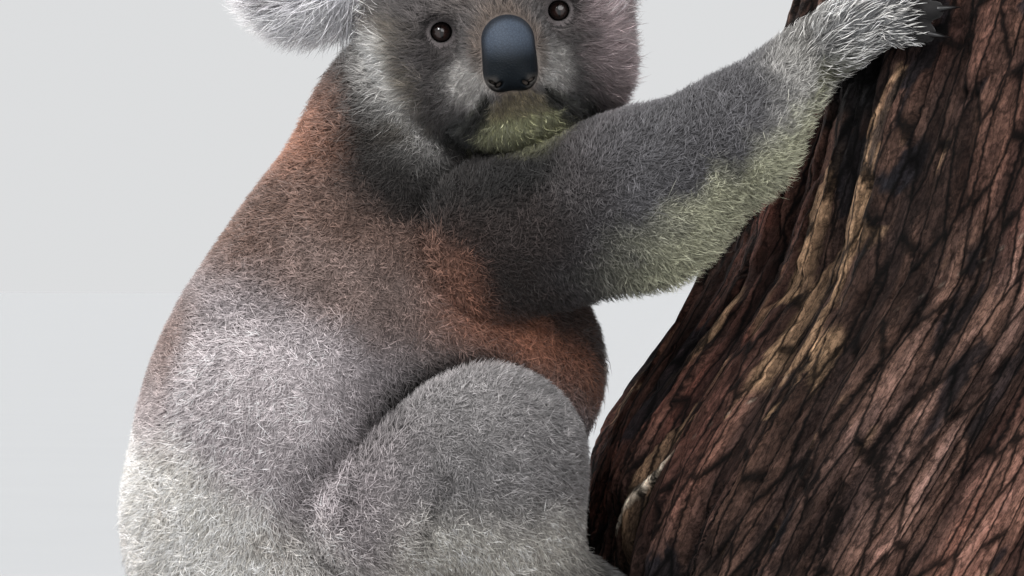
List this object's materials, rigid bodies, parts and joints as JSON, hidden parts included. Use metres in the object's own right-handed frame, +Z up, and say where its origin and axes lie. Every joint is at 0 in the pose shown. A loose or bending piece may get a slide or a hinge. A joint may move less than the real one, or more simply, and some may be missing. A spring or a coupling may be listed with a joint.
{
  "type": "koala",
  "caption": "Life-size still model of a koala clinging to a cut length of leaning stringybark trunk, looking back over its shoulder, on a plain round display stand.",
  "frame": {"origin": "centre of the display base's underside, on the floor", "axes": "+Z up; the trunk stands towards +X +Y of the animal, and the animal's face looks towards +X -Y"},
  "size_m": [0.6016, 0.6688, 0.6296],
  "materials": {
    "bark": "fibrous, deeply furrowed",
    "base_wood": "satin varnish",
    "rod_steel": "brushed",
    "eye": "wet gloss",
    "nose_skin": "pebbled, slightly moist",
    "claw": "smooth horn",
    "ear_fur": "long white-fringed fur",
    "paw_fur": "short pale fur",
    "body_fur": "woolly rusty brown and grey fur",
    "grey_fur": "woolly salt-and-pepper fur"
  },
  "bodies": {
    "root": {"perch_log": "bark", "nose_pad": "nose_skin", "head": "grey_fur", "eye_right": "eye", "ear_right": "ear_fur", "eye_left": "eye", "ear_left": "ear_fur", "upper_arm_right": "grey_fur", "forearm_right": "grey_fur", "hand_right": "paw_fur", "claw_hand_right_1": "claw", "claw_hand_right_2": "claw", "claw_hand_right_3": "claw", "claw_hand_right_4": "claw", "claw_hand_right_5": "claw", "thigh_right": "grey_fur", "shank_right": "grey_fur", "foot_right": "paw_fur", "claw_foot_right_1": "claw", "claw_foot_right_2": "claw", "claw_foot_right_3": "claw", "claw_foot_right_4": "claw", "upper_arm_left": "grey_fur", "forearm_left": "grey_fur", "hand_left": "paw_fur", "claw_hand_left_1": "claw", "claw_hand_left_2": "claw", "claw_hand_left_3": "claw", "claw_hand_left_4": "claw", "claw_hand_left_5": "claw", "thigh_left": "grey_fur", "shank_left": "grey_fur", "foot_left": "paw_fur", "claw_foot_left_1": "claw", "claw_foot_left_2": "claw", "claw_foot_left_3": "claw", "claw_foot_left_4": "claw", "neck": "body_fur", "torso": "body_fur", "stand_base": "base_wood", "stand_rod_1": "rod_steel", "stand_rod_2": "rod_steel"}
  },
  "joints": []
}
